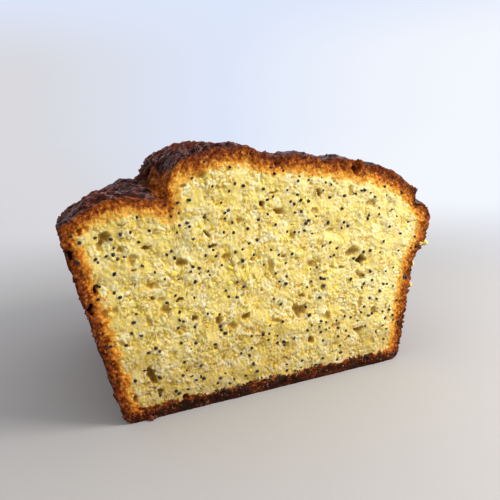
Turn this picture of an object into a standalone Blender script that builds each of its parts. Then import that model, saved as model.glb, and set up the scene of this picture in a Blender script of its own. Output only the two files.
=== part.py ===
"""The rest of a poppy seed pound cake loaf, with the cut face at the front and the tin's end at the back.

The loaf is one solid. Its cut face looks along -Y, its length runs along Y, and it rests on z = 0.
The shape is worked out in the loaf's own grid: across (-1 left to 1 right), up (0 base to 1 top crust)
and back (0 cut face to 1 tin's end). Lengths are in metres and angles in degrees.
"""

import math
import random

import bmesh
import bpy
from mathutils import Vector, noise

# The tin: its base, the slope of its walls and the round corner at its end
BASE_WIDTH = 0.100
RIM_LENGTH = 0.110
RIM_HEIGHT = 0.063
WALL_SLOPE = 11.2
END_SLOPE = 10.0
CORNER_RADIUS = 0.028
BASE_EDGE_RADIUS = 0.0030

# The top crust's line at the cut, left to right: shoulder, split, crown and the side that leans down
TOP_LINE = (
    (-0.0621, 0.0634),
    (-0.0570, 0.0668),
    (-0.0500, 0.0696),
    (-0.0420, 0.0704),
    (-0.0350, 0.0690),
    (-0.0311, 0.0666),
    (-0.0299, 0.0728),
    (-0.0258, 0.0780),
    (-0.0180, 0.0808),
    (-0.0095, 0.0822),
    (0.0030, 0.0791),
    (0.0150, 0.0775),
    (0.0320, 0.0745),
    (0.0450, 0.0711),
    (0.0540, 0.0670),
    (0.0590, 0.0618),
    (0.0632, 0.0575),
    (0.0648, 0.0535),
)

# The points of that line at the foot and the lip of the split
SPLIT_EDGES = (5, 6)

# The right side swells over the tin's rim, less and less evenly towards the end
SWELL = 0.0042
SWELL_START = 0.034
SWELL_FULL = 0.045
SWELL_FADE = 0.45
SWELL_WAVE = 0.0030

# How the loaf changes from the cut to its end
RIM_FALL = 0.13
CROWN_FALL = 0.60
NARROWING = 0.07
SKEW = 4.0
END_EDGE_DROP = 0.010
END_EDGE_LENGTH = 0.022
SPLIT_DRIFT = -0.0060
SPLIT_WANDER = 0.0014
SPLIT_WANDER_LENGTH = 0.047

# Swellings of the top crust behind the cut: height, x, y, spread in x and spread in y
HUMPS = (
    (0.0054, -0.0220, 0.034, 0.0105, 0.024),
    (0.0046, -0.0340, 0.056, 0.0110, 0.032),
    (0.0018, 0.0300, 0.060, 0.022, 0.026),
)

# The crust is broken away along the knife's edge
EDGE_BREAK = 0.0012
EDGE_BREAK_LENGTH = 0.0035

# Relief: lumps of the top crust, ripples of the sides and the uneven cut
LUMP_HEIGHT, LUMP_SIZE = 0.0013, 0.0085
RIPPLE_HEIGHT, RIPPLE_SIZE = 0.0005, 0.0070
CUT_HEIGHT, CUT_SIZE = 0.0005, 0.0060

# Air holes in the crumb: x, z, width, height and depth
AIR_HOLES = (
    (0.0203, 0.0647, 0.0024, 0.0038, 0.0034),
    (0.0084, 0.0608, 0.0060, 0.0018, 0.0022),
    (0.0349, 0.0389, 0.0032, 0.0030, 0.0032),
    (0.0290, 0.0423, 0.0052, 0.0020, 0.0018),
    (0.0106, 0.0256, 0.0050, 0.0046, 0.0026),
    (-0.0405, 0.0151, 0.0036, 0.0080, 0.0028),
    (-0.0497, 0.0581, 0.0052, 0.0062, 0.0018),
    (-0.0543, 0.0432, 0.0020, 0.0070, 0.0026),
    (-0.0119, 0.0460, 0.0048, 0.0034, 0.0018),
)

# Poppy seeds that stand out of the crumb
SEED_COUNT = 150
SEED_LENGTH, SEED_WIDTH = 0.00115, 0.00090
SEED_GAP = 0.0042
SEED_SUNK = 0.00012
SEED_MARGIN = 0.0030
SEED_DRAW = 11

# Grid cells across, up and back, and how they crowd towards the cut and the base
CELLS_ACROSS, CELLS_UP, CELLS_BACK = 40, 16, 23
ROW_CROWDING = 1.45
UP_CROWDING = 1.25

# Moves the loaf's own grid so that the origin is at the middle of its base
ORIGIN_SHIFT = Vector((-0.0018, -0.0538, 0.0))

CRUST_COLOUR = (0.260, 0.090, 0.026, 1.0)
CRUMB_COLOUR = (0.700, 0.540, 0.200, 1.0)
SEED_COLOUR = (0.025, 0.022, 0.035, 1.0)


def clear_scene():
    for old in list(bpy.data.objects):
        bpy.data.objects.remove(old, do_unlink=True)


def material(name, colour, roughness):
    made = bpy.data.materials.new(name)
    made.use_nodes = True
    shader = made.node_tree.nodes["Principled BSDF"]
    shader.inputs["Base Color"].default_value = colour
    shader.inputs["Roughness"].default_value = roughness
    shader.inputs["Metallic"].default_value = 0.0
    return made


def smooth_step(low, high, value):
    share = min(1.0, max(0.0, (value - low) / (high - low)))
    return share * share * (3.0 - 2.0 * share)


def half_width(side, z, back=0.0):
    """Distance from the middle to the wall at height z, on the side that is -1 left or 1 right."""
    width = BASE_WIDTH / 2 + z * math.tan(math.radians(WALL_SLOPE))
    if side > 0:
        lift = SWELL_WAVE * math.sin(back * 2.6 * math.pi)
        swell = smooth_step(SWELL_START + lift, SWELL_FULL + lift, z)
        width += SWELL * (1 - SWELL_FADE * back) * swell
    return width


def side_of(value):
    return -1.0 if value < 0.0 else 1.0


TOP_POINTS = [(x / half_width(side_of(x), z), z) for x, z in TOP_LINE]


def top_line(across):
    """Height of the top crust at the cut, on a curve through TOP_POINTS."""
    points = TOP_POINTS
    if across <= points[0][0]:
        return points[0][1]
    if across >= points[-1][0]:
        return points[-1][1]
    k = max(i for i in range(len(points) - 1) if points[i][0] <= across)
    before, start = points[max(k - 1, 0)], points[k]
    end, after = points[k + 1], points[min(k + 2, len(points) - 1)]
    span = end[0] - start[0]
    share = (across - start[0]) / span
    slope_in = (end[1] - before[1]) / (end[0] - before[0]) * span
    slope_out = (after[1] - start[1]) / (after[0] - start[0]) * span
    rise = end[1] - start[1]
    if rise * slope_in < 0.0 or rise * slope_out < 0.0:
        slope_in, slope_out = rise, rise
    cube, square = share**3, share**2
    return (
        (2 * cube - 3 * square + 1) * start[1]
        + (cube - 2 * square + share) * slope_in
        + (3 * square - 2 * cube) * end[1]
        + (cube - square) * slope_out
    )


def top_height(across, y):
    """Height of the top crust at a place across the loaf and at distance y behind the cut."""
    back = min(1.0, max(0.0, y / RIM_LENGTH))
    crown = top_line(across) - RIM_HEIGHT
    height = (RIM_HEIGHT + crown * (1 - CROWN_FALL * back**2.2)) * (1 - RIM_FALL * back**1.3)
    x = across * half_width(side_of(across), height)
    for hump, hump_x, hump_y, spread_x, spread_y in HUMPS:
        away = ((x - hump_x) / spread_x) ** 2 + ((y - hump_y) / spread_y) ** 2
        height += hump * math.exp(-away)
    height -= EDGE_BREAK * (1 - smooth_step(0.0, EDGE_BREAK_LENGTH, y))
    to_end = smooth_step(RIM_LENGTH - END_EDGE_LENGTH, RIM_LENGTH, y)
    return height - END_EDGE_DROP * to_end**2


def round_plan_corner(across, back):
    """Moves a grid point near the tin's end so that the end's upright corners are round."""
    reach = half_width(-1, RIM_HEIGHT)
    x, y = abs(across) * reach, back * RIM_LENGTH
    over_x = max(0.0, x - (reach - CORNER_RADIUS))
    over_y = max(0.0, y - (RIM_LENGTH - CORNER_RADIUS))
    length = math.hypot(over_x, over_y)
    if over_x > 0.0 and over_y > 0.0:
        scale = max(over_x, over_y) / length
        x += over_x * (scale - 1)
        y += over_y * (scale - 1)
    return math.copysign(x / reach, across), y / RIM_LENGTH


def loaf_point(across, up, back):
    """The smooth loaf's point for a grid place, in the loaf's own frame."""
    across, back = round_plan_corner(across, back)
    y_rim = back * RIM_LENGTH
    z = up * top_height(across, y_rim)
    narrow = 1 - NARROWING * back**1.5
    x = across * half_width(side_of(across), z, back) * narrow
    wander = SPLIT_DRIFT * back + SPLIT_WANDER * math.sin(y_rim / SPLIT_WANDER_LENGTH * math.tau)
    x += wander * (1 - across**2)
    y = y_rim - back * (RIM_HEIGHT - z) * math.tan(math.radians(END_SLOPE))
    x += y * math.tan(math.radians(SKEW))
    return Vector((x, y, z))


def tucked_base(point, across, up, back):
    """Rounds the edge between base and walls, without changing the flat cut."""
    inset = 0.0
    if point.z < BASE_EDGE_RADIUS:
        drop = BASE_EDGE_RADIUS - point.z
        inset = BASE_EDGE_RADIUS - math.sqrt(BASE_EDGE_RADIUS**2 - drop**2)
    point.x -= inset * across
    point.y -= inset * smooth_step(0.7, 1.0, back)
    return point


def relief(point, across, up, back):
    """Moves a skin point by the crust's lumps and the crumb's unevenness. The base stays flat."""
    if up == 0.0:
        return point
    near = min(1.0, point.z / BASE_EDGE_RADIUS)
    lump = noise.fractal(point / LUMP_SIZE, 0.9, 2.1, 3) * LUMP_HEIGHT
    ripple = noise.noise(point / RIPPLE_SIZE) * RIPPLE_HEIGHT * near
    moved = point.copy()
    if up == 1.0:
        moved.z += lump
    if abs(across) == 1.0:
        moved.x += side_of(across) * ripple
    if back == 1.0:
        moved.y += ripple
    if back == 0.0:
        moved.y += noise.noise(point / CUT_SIZE) * CUT_HEIGHT * near
    return moved


def grid_steps():
    across = [-1 + 2 * i / CELLS_ACROSS for i in range(CELLS_ACROSS + 1)]
    for edge in SPLIT_EDGES:
        nearest = min(range(len(across)), key=lambda i: abs(across[i] - TOP_POINTS[edge][0]))
        across[nearest] = TOP_POINTS[edge][0]
    up = [(i / CELLS_UP) ** UP_CROWDING for i in range(CELLS_UP + 1)]
    back = [(i / CELLS_BACK) ** ROW_CROWDING for i in range(CELLS_BACK + 1)]
    return across, up, back


def loaf_mesh(mesh_name):
    """The loaf's skin: a grid on each of six sides, with shared edges. The flat base is one face."""
    steps = grid_steps()
    last = (CELLS_ACROSS, CELLS_UP, CELLS_BACK)
    build = bmesh.new()
    corners = {}

    def corner(i, j, k):
        if (i, j, k) not in corners:
            place = (steps[0][i], steps[1][j], steps[2][k])
            point = relief(tucked_base(loaf_point(*place), *place), *place)
            corners[i, j, k] = build.verts.new(point + ORIGIN_SHIFT)
        return corners[i, j, k]

    def quads(axis, level, crumb):
        first, second = [a for a in range(3) if a != axis]
        for a in range(last[first]):
            for b in range(last[second]):
                loop = []
                for da, db in ((0, 0), (1, 0), (1, 1), (0, 1)):
                    place = [0, 0, 0]
                    place[axis], place[first], place[second] = level, a + da, b + db
                    loop.append(corner(*place))
                face = build.faces.new(loop)
                face.material_index = 1 if crumb else 0

    quads(0, 0, False)
    quads(0, last[0], False)
    quads(1, last[1], False)
    quads(2, 0, True)
    quads(2, last[2], False)
    rim = [(i, 0) for i in range(last[0])] + [(last[0], k) for k in range(last[2])]
    rim += [(i, last[2]) for i in range(last[0], 0, -1)] + [(0, k) for k in range(last[2], 0, -1)]
    build.faces.new([corner(i, 0, k) for i, k in rim])
    bmesh.ops.recalc_face_normals(build, faces=build.faces)
    bmesh.ops.triangulate(build, faces=build.faces)
    mesh = bpy.data.meshes.new(mesh_name)
    build.to_mesh(mesh)
    build.free()
    return mesh


def small_ball(name, centre, size, turn, detail, finish):
    """A ball of few sides, squeezed to size and turned about Y, as an object of its own."""
    build = bmesh.new()
    bmesh.ops.create_icosphere(build, subdivisions=detail, radius=0.5)
    for vertex in build.verts:
        x, y, z = vertex.co.x * size[0], vertex.co.y * size[1], vertex.co.z * size[2]
        c, s = math.cos(turn), math.sin(turn)
        vertex.co = Vector((x * c - z * s, y, x * s + z * c)) + centre
    mesh = bpy.data.meshes.new(name)
    build.to_mesh(mesh)
    build.free()
    mesh.materials.append(finish)
    return bpy.data.objects.new(name, mesh)


def cut_y(x, z):
    """Depth of the uneven cut at a place on it, in the loaf's own frame."""
    return noise.noise(Vector((x, 0.0, z)) / CUT_SIZE) * CUT_HEIGHT


def seed_places():
    """Places on the cut face for the seeds, spread evenly and clear of the air holes and the crust."""
    draw = random.Random(SEED_DRAW)
    places = []
    while len(places) < SEED_COUNT:
        z = draw.uniform(SEED_MARGIN, max(z for x, z in TOP_LINE))
        x = draw.uniform(-half_width(-1, z), half_width(1, z))
        across = x / half_width(side_of(x), z)
        wall = half_width(side_of(x), z) - abs(x)
        if wall < SEED_MARGIN or top_height(across, 0.0) - z < SEED_MARGIN:
            continue
        holes = [math.hypot((x - hx) / w, (z - hz) / h) for hx, hz, w, h, depth in AIR_HOLES]
        near = [math.hypot(x - px, z - pz) for px, pz in places]
        if min(holes) > 0.9 and min(near, default=1.0) > SEED_GAP:
            places.append((x, z))
    return places, draw


def join_all(loaf, parts, operation, group_name):
    """Unites the parts with the loaf, or cuts them out of it, in one Boolean on a collection."""
    group = bpy.data.collections.new(group_name)
    for part in parts:
        group.objects.link(part)
    change = loaf.modifiers.new(group_name, "BOOLEAN")
    change.operand_type = "COLLECTION"
    change.collection = group
    change.operation = operation
    change.solver = "EXACT"
    graph = bpy.context.evaluated_depsgraph_get()
    changed = bpy.data.meshes.new_from_object(loaf.evaluated_get(graph))
    loaf.modifiers.clear()
    loaf.data = changed
    for part in parts:
        bpy.data.objects.remove(part, do_unlink=True)
    bpy.data.collections.remove(group)


def air_holes(crumb):
    holes = []
    for n, (x, z, width, height, depth) in enumerate(AIR_HOLES):
        centre = Vector((x, cut_y(x, z), z)) + ORIGIN_SHIFT
        size = (width, 2 * depth, height)
        turn = math.radians(25.0) * math.sin(n * 2.4)
        holes.append(small_ball(f"air_hole_{n}", centre, size, turn, 2, crumb))
    return holes


def poppy_seeds(seed_finish):
    places, draw = seed_places()
    seeds = []
    for n, (x, z) in enumerate(places):
        centre = Vector((x, cut_y(x, z) + SEED_SUNK, z)) + ORIGIN_SHIFT
        size = (SEED_LENGTH, SEED_WIDTH, SEED_WIDTH)
        turn = draw.uniform(0.0, math.pi)
        seeds.append(small_ball(f"poppy_seed_{n}", centre, size, turn, 1, seed_finish))
    return seeds


def build_loaf():
    crust = material("browned_crust", CRUST_COLOUR, 0.45)
    crumb = material("yellow_crumb", CRUMB_COLOUR, 0.75)
    seed = material("poppy_seed", SEED_COLOUR, 0.40)
    mesh = loaf_mesh("cake_loaf")
    for finish in (crust, crumb, seed):
        mesh.materials.append(finish)
    loaf = bpy.data.objects.new("cake_loaf", mesh)
    bpy.context.scene.collection.objects.link(loaf)
    join_all(loaf, air_holes(crumb), "DIFFERENCE", "air_holes")
    join_all(loaf, poppy_seeds(seed), "UNION", "poppy_seeds")
    loaf.data.set_sharp_from_angle(angle=math.radians(50.0))
    return loaf


clear_scene()
build_loaf()
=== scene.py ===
# Looks for the rest of a poppy seed loaf: open crumb, browned crust, seeds, zest and loose crumbs.
# Everything is in metres, in the frame's own axes: cut face towards -Y, length along +Y, base on z = 0.
import math
import random

import bmesh
import bpy
import numpy as np
from mathutils import Matrix, Vector, noise


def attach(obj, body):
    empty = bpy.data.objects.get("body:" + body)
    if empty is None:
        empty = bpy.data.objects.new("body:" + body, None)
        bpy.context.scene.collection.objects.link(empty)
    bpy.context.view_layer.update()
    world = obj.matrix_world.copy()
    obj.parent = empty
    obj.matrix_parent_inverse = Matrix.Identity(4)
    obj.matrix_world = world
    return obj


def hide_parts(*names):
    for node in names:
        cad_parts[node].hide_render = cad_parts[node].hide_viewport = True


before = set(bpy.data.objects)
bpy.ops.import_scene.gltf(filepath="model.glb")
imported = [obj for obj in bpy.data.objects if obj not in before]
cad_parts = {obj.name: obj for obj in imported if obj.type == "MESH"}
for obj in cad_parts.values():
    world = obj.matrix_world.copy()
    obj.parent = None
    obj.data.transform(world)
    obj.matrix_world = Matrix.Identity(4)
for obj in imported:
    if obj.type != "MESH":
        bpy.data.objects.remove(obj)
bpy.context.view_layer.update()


# the loaf's form, as the solid has it
loaf = {
    "baseWidth": 0.100, "rimLength": 0.110, "rimHeight": 0.063,
    "wallSlope": 11.2, "endSlope": 10.0, "cornerRadius": 0.028, "baseEdge": 0.0030,
    "swell": 0.0042, "swellStart": 0.034, "swellFull": 0.045, "swellFade": 0.45,
    "swellWave": 0.0030, "swellWaves": 2.6,
    "rimFall": 0.13, "rimCurve": 1.3, "crownFall": 0.60, "crownCurve": 2.2,
    "narrowing": 0.07, "narrowCurve": 1.5, "skew": 4.0, "baseTuckFrom": 0.7,
    "endDrop": 0.010, "endDropLength": 0.022,
    "splitDrift": -0.0060, "splitWander": 0.0014, "splitWanderLength": 0.047,
    "edgeBreak": 0.0012, "edgeBreakLength": 0.0035,
    "lumpHeight": 0.0013, "lumpSize": 0.0085, "rippleHeight": 0.0005, "rippleSize": 0.0070,
    "cutHeight": 0.0005, "cutSize": 0.0060,
    "shift": (-0.0018, -0.0538, 0.0),
}
# the top crust's line at the cut: shoulder, split, crown and the side that leans down
topLine = (
    (-0.0621, 0.0634), (-0.0570, 0.0668), (-0.0500, 0.0696), (-0.0420, 0.0704), (-0.0350, 0.0690),
    (-0.0311, 0.0666), (-0.0299, 0.0728), (-0.0258, 0.0780), (-0.0180, 0.0808), (-0.0095, 0.0822),
    (0.0030, 0.0791), (0.0150, 0.0775), (0.0320, 0.0745), (0.0450, 0.0711), (0.0540, 0.0670),
    (0.0590, 0.0618), (0.0632, 0.0575), (0.0648, 0.0535),
)
# swellings of the top behind the cut: height, x, y, spread in x and in y
humps = (
    (0.0054, -0.0220, 0.034, 0.0105, 0.024),
    (0.0046, -0.0340, 0.056, 0.0110, 0.032),
    (0.0018, 0.0300, 0.060, 0.022, 0.026),
)
shift = np.array(loaf["shift"])
cutMiddle = np.array((0.0, 0.0, 0.037))
loafMiddle = np.array((0.003, 0.052, 0.0))


def smoothStep(low, high, value):
    share = np.clip((value - low) / (high - low), 0.0, 1.0)
    return share * share * (3.0 - 2.0 * share)


def halfWidth(side, z, back):
    width = loaf["baseWidth"] / 2 + z * math.tan(math.radians(loaf["wallSlope"]))
    lift = loaf["swellWave"] * np.sin(back * loaf["swellWaves"] * math.pi)
    swell = smoothStep(loaf["swellStart"] + lift, loaf["swellFull"] + lift, z)
    return width + np.where(side > 0, loaf["swell"] * (1 - loaf["swellFade"] * back) * swell, 0.0)


def sideOf(across):
    return np.where(across < 0.0, -1.0, 1.0)


topPoints = [(x / float(halfWidth(-1.0 if x < 0 else 1.0, z, 0.0)), z) for x, z in topLine]


def topLineAt(across):
    # the same curve through the points as the solid's
    if across <= topPoints[0][0]:
        return topPoints[0][1]
    if across >= topPoints[-1][0]:
        return topPoints[-1][1]
    k = max(i for i in range(len(topPoints) - 1) if topPoints[i][0] <= across)
    before, start = topPoints[max(k - 1, 0)], topPoints[k]
    end, after = topPoints[k + 1], topPoints[min(k + 2, len(topPoints) - 1)]
    span = end[0] - start[0]
    share = (across - start[0]) / span
    slopeIn = (end[1] - before[1]) / (end[0] - before[0]) * span
    slopeOut = (after[1] - start[1]) / (after[0] - start[0]) * span
    rise = end[1] - start[1]
    if rise * slopeIn < 0.0 or rise * slopeOut < 0.0:
        slopeIn, slopeOut = rise, rise
    cube, square = share**3, share**2
    return ((2 * cube - 3 * square + 1) * start[1] + (cube - 2 * square + share) * slopeIn
            + (3 * square - 2 * cube) * end[1] + (cube - square) * slopeOut)


denseAcross = np.linspace(-1.0, 1.0, 4001)
denseTop = np.array([topLineAt(a) for a in denseAcross])
splitAcross = topPoints[5][0]


def topHeight(across, y):
    back = np.clip(y / loaf["rimLength"], 0.0, 1.0)
    crown = np.interp(across, denseAcross, denseTop) - loaf["rimHeight"]
    height = loaf["rimHeight"] + crown * (1 - loaf["crownFall"] * back ** loaf["crownCurve"])
    height = height * (1 - loaf["rimFall"] * back ** loaf["rimCurve"])
    x = across * halfWidth(sideOf(across), height, 0.0)
    for rise, humpX, humpY, spreadX, spreadY in humps:
        height = height + rise * np.exp(-((x - humpX) / spreadX) ** 2 - ((y - humpY) / spreadY) ** 2)
    height = height - loaf["edgeBreak"] * (1 - smoothStep(0.0, loaf["edgeBreakLength"], y))
    toEnd = smoothStep(loaf["rimLength"] - loaf["endDropLength"], loaf["rimLength"], y)
    return height - loaf["endDrop"] * toEnd**2


def roundCorner(across, y):
    # the tin's upright corners at its end
    reach = float(halfWidth(-1.0, loaf["rimHeight"], 0.0))
    x = np.abs(across) * reach
    overX = np.maximum(0.0, x - (reach - loaf["cornerRadius"]))
    overY = np.maximum(0.0, y - (loaf["rimLength"] - loaf["cornerRadius"]))
    length = np.hypot(overX, overY)
    both = (overX > 0.0) & (overY > 0.0)
    scale = np.where(both, np.maximum(overX, overY) / np.maximum(length, 1e-9), 1.0)
    return np.copysign((x + overX * (scale - 1)) / reach, across), y + overY * (scale - 1)


def loafPoints(across, up, y):
    # smooth points of the loaf for places across, up and behind the cut
    across, up, y = np.broadcast_arrays(*[np.asarray(part, float) for part in (across, up, y)])
    across, yRim = roundCorner(across, y)
    back = yRim / loaf["rimLength"]
    z = up * topHeight(across, yRim)
    narrowed = 1 - loaf["narrowing"] * back ** loaf["narrowCurve"]
    x = across * halfWidth(sideOf(across), z, back) * narrowed
    wander = loaf["splitDrift"] * back
    wander = wander + loaf["splitWander"] * np.sin(yRim / loaf["splitWanderLength"] * math.tau)
    x = x + wander * (1 - across**2)
    newY = yRim - back * (loaf["rimHeight"] - z) * math.tan(math.radians(loaf["endSlope"]))
    x = x + newY * math.tan(math.radians(loaf["skew"]))
    # the base's edge is tucked in
    drop = np.maximum(0.0, loaf["baseEdge"] - z)
    inset = loaf["baseEdge"] - np.sqrt(np.maximum(loaf["baseEdge"] ** 2 - drop**2, 0.0))
    x = x - inset * across
    newY = newY - inset * smoothStep(loaf["baseTuckFrom"], 1.0, back)
    return np.stack((x, newY, z), axis=-1)


# places by the cut's edge where the crust is torn: x, z, reach, push in x and in z
tears = (
    (0.0614, 0.0588, 0.0023, -0.0026, -0.0016), (0.0584, 0.0618, 0.0015, 0.0011, 0.0003),
    (0.0652, 0.0550, 0.0014, 0.0002, 0.0008), (0.0572, 0.0288, 0.0009, 0.0011, 0.0002),
    (0.0580, 0.0380, 0.0016, -0.0008, 0.0000), (-0.0570, 0.0240, 0.0008, -0.0011, 0.0000),
)
tearReach = 0.0060


def torn(points):
    # the points pushed where the crust is torn, fading out behind the cut
    fade = np.exp(-(np.maximum(points[..., 1], 0.0) / tearReach) ** 2)
    moved = points.copy()
    for x, z, reach, pushX, pushZ in tears:
        share = fade * np.exp(-((points[..., 0] - x) ** 2 + (points[..., 2] - z) ** 2) / reach**2)
        moved[..., 0] += pushX * share
        moved[..., 2] += pushZ * share
    return moved


def noiseAt(points, size, offset=0.0):
    # signed noise with features about size wide; the offset picks another part of it
    rows = (points.reshape(-1, 3) / size + offset).tolist()
    return np.array([noise.noise(p) for p in rows]).reshape(points.shape[:-1])


def fractalAt(points, size, octaves, offset=0.0, rough=0.9):
    rows = (points.reshape(-1, 3) / size + offset).tolist()
    return np.array([noise.fractal(p, rough, 2.1, octaves) for p in rows]).reshape(points.shape[:-1])


def nearestCell(points, size, offset=0.0):
    # distance to the nearest cell's middle, in cell sizes
    rows = (points.reshape(-1, 3) / size + offset).tolist()
    return np.array([noise.voronoi(p)[0][0] for p in rows]).reshape(points.shape[:-1])


def ridged(points, size, offset=0.0, blunt=0.0):
    return 1.0 - 2.0 * np.sqrt(noiseAt(points, size, offset) ** 2 + blunt)


def pushed(points, source, amount, size, offsets):
    # the points pushed about by the noise at the source points
    return points + amount * np.stack([noiseAt(source, size, offset) for offset in offsets], axis=-1)


def lumps(points):
    return fractalAt(points, loaf["lumpSize"], 3) * loaf["lumpHeight"]


def ripples(points):
    return noiseAt(points, loaf["rippleSize"]) * loaf["rippleHeight"]


def towards(middle, points, flat):
    # unit directions from the points to the middle, without the axis called flat
    way = middle - points
    way[..., flat] = 0.0
    return way / np.maximum(np.linalg.norm(way, axis=-1, keepdims=True), 1e-9)


def gridNormals(points):
    # unit normals of a grid of points, rows by columns
    alongRow = np.gradient(points, axis=1)
    alongColumn = np.gradient(points, axis=0)
    normal = np.cross(alongRow, alongColumn)
    return normal / np.maximum(np.linalg.norm(normal, axis=-1, keepdims=True), 1e-12)


def gridFaces(rows, columns, start=0, closed=False):
    faces = []
    last = columns if closed else columns - 1
    for r in range(rows - 1):
        for c in range(last):
            n = (c + 1) % columns
            a, b = start + r * columns + c, start + r * columns + n
            faces.append((a, b, b + columns, a + columns))
    return faces


def edgeRing(rows, columns):
    # the edge of a grid, once round
    ring = [(0, c) for c in range(columns)] + [(r, columns - 1) for r in range(1, rows)]
    ring += [(rows - 1, c) for c in range(columns - 2, -1, -1)]
    return ring + [(r, 0) for r in range(rows - 2, 0, -1)]


def wrappedFaces(rows, columns, ring, layers):
    # the faces of a grid, of the layers of points that go on from its edge, and of the last one's cap
    count, around = rows * columns, len(ring)
    edge = [r * columns + c for r, c in ring]
    faces = gridFaces(rows, columns)
    for c in range(around):
        n = (c + 1) % around
        faces.append((edge[n], edge[c], count + c, count + n))
    faces += gridFaces(layers, around, count, closed=True)
    last = count + (layers - 1) * around
    faces.append(tuple(last + c for c in range(around)))
    return faces


def padded(values, extra, fill=0.0):
    # a grid's values, with one value for all the points that follow it
    return np.concatenate((values.ravel(), np.full(extra, fill)))


def makePiece(name, points, faces, attributes):
    mesh = bpy.data.meshes.new(name)
    mesh.from_pydata((torn(points) + shift).tolist(), [], faces)
    for key, values in attributes.items():
        layer = mesh.attributes.new(key, "FLOAT", "POINT")
        layer.data.foreach_set("value", np.asarray(values, dtype=np.float32).ravel())
    mesh.validate()
    shape = bmesh.new()
    shape.from_mesh(mesh)
    bmesh.ops.recalc_face_normals(shape, faces=shape.faces)
    shape.to_mesh(mesh)
    shape.free()
    mesh.polygons.foreach_set("use_smooth", [True] * len(mesh.polygons))
    piece = bpy.data.objects.new(name, mesh)
    bpy.context.scene.collection.objects.link(piece)
    print("stage: piece", name, len(mesh.vertices), "points", len(mesh.polygons), "faces")
    return piece


# shader sums: a socket that can stand in an expression
class Sock:
    def __init__(self, tree, socket=None):
        self.tree = tree
        self.socket = socket

    def node(self, kind, settings=None, inputs=None, out=0):
        made = self.tree.nodes.new(kind)
        for key, value in (settings or {}).items():
            if key == "stops":
                ramp = made.color_ramp.elements
                while len(ramp) < len(value):
                    ramp.new(0.5)
                for stop, (place, colour) in zip(ramp, value):
                    stop.position = place
                    stop.color = (*colour, 1.0)
            else:
                setattr(made, key, value)
        for key, value in (inputs or {}).items():
            target = made.inputs[key]
            if isinstance(value, Sock):
                self.tree.links.new(value.socket, target)
            else:
                target.default_value = value
        return Sock(self.tree, made.outputs[out])

    def math(self, operation, first, second, clamp=False):
        settings = {"operation": operation, "use_clamp": clamp}
        return self.node("ShaderNodeMath", settings, {0: first, 1: second})

    def vector(self, operation, *parts, out=0):
        # vector maths; a result that is one number has out=1
        return self.node("ShaderNodeVectorMath", {"operation": operation}, dict(enumerate(parts)), out)

    def axis(self, index):
        # one of a place's three numbers
        return self.node("ShaderNodeSeparateXYZ", {}, {0: self}, index)

    def __add__(self, other):
        return self.math("ADD", self, other)

    __radd__ = __add__

    def __sub__(self, other):
        return self.math("SUBTRACT", self, other)

    def __rsub__(self, other):
        return self.math("SUBTRACT", other, self)

    def __mul__(self, other):
        return self.math("MULTIPLY", self, other)

    __rmul__ = __mul__

    def clamp(self):
        return self.math("ADD", self, 0.0, clamp=True)

    def step(self, low, high):
        # 0 below low and 1 above high, smoothly
        settings = {"interpolation_type": "SMOOTHSTEP"}
        inputs = {"Value": self, "From Min": low, "From Max": high}
        return self.node("ShaderNodeMapRange", settings, inputs)

    def ramp(self, *stops):
        # each stop is a place and a colour as seen in the photo
        stops = [(place, srgb(*colour)) for place, colour in stops]
        return self.node("ShaderNodeValToRGB", {"stops": stops}, {"Fac": self})

    def mix(self, first, second, mode="MIX"):
        # self is how much of the second colour shows
        settings = {"data_type": "RGBA", "blend_type": mode}
        inputs = {"Factor": self, 6: colour4(first), 7: colour4(second)}
        return self.node("ShaderNodeMix", settings, inputs, 2)

    def noise(self, size, detail=3.0, rough=0.55, stretch=None):
        place = self.vector("MULTIPLY", self, stretch) if stretch else self
        inputs = {"Vector": place, "Scale": 1.0 / size, "Detail": detail, "Roughness": rough}
        return self.node("ShaderNodeTexNoise", {}, inputs)

    def bend(self, size, amount):
        # the same places, pushed about by a noise
        push = self.node("ShaderNodeTexNoise", {}, {"Vector": self, "Scale": 1.0 / size, "Detail": 2.0}, 1)
        push = self.vector("SUBTRACT", push, (0.5, 0.5, 0.5))
        return self.vector("MULTIPLY_ADD", push, (amount,) * 3, self)

    def cells(self, size, feature="F1"):
        return self.node("ShaderNodeTexVoronoi", {"feature": feature}, {"Vector": self, "Scale": 1.0 / size})

    def cellShade(self, size):
        # one random value for each cell
        found = self.node("ShaderNodeTexVoronoi", {}, {"Vector": self, "Scale": 1.0 / size}, 1)
        return self.node("ShaderNodeSeparateColor", {}, {0: found})

    def value(self, name):
        return self.node("ShaderNodeAttribute", {"attribute_name": name}, out=2)

    def bump(self, strength, depth):
        inputs = {"Height": self, "Strength": strength, "Distance": depth}
        return self.node("ShaderNodeBump", {}, inputs)


def colour4(colour):
    return colour if isinstance(colour, Sock) else (*colour, 1.0)


def srgb(red, green, blue):
    # a colour as seen in the photo, in linear light
    shares = [channel / 255 for channel in (red, green, blue)]
    return tuple(s / 12.92 if s <= 0.04045 else ((s + 0.055) / 1.055) ** 2.4 for s in shares)


def newMaterial(name):
    made = bpy.data.materials.new(name)
    made.use_nodes = True
    shader = made.node_tree.nodes["Principled BSDF"]
    start = Sock(made.node_tree)
    place = start.node("ShaderNodeTexCoord", out=3)
    return made, shader, place


def feed(shader, **links):
    # varying values, by socket name with _ for a space
    for key, value in links.items():
        shader.id_data.links.new(value.socket, shader.inputs[key.replace("_", " ")])


def setAll(shader, **values):
    # values that are the same all over, on the shader's own sockets
    for key, value in values.items():
        shader.inputs[key.replace("_", " ")].default_value = value


def layered(colour, *layers):
    # a colour with others over it, each with its share and its colour as seen in the photo
    for share, tint in layers:
        colour = share.mix(colour, srgb(*tint))
    return colour


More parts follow.
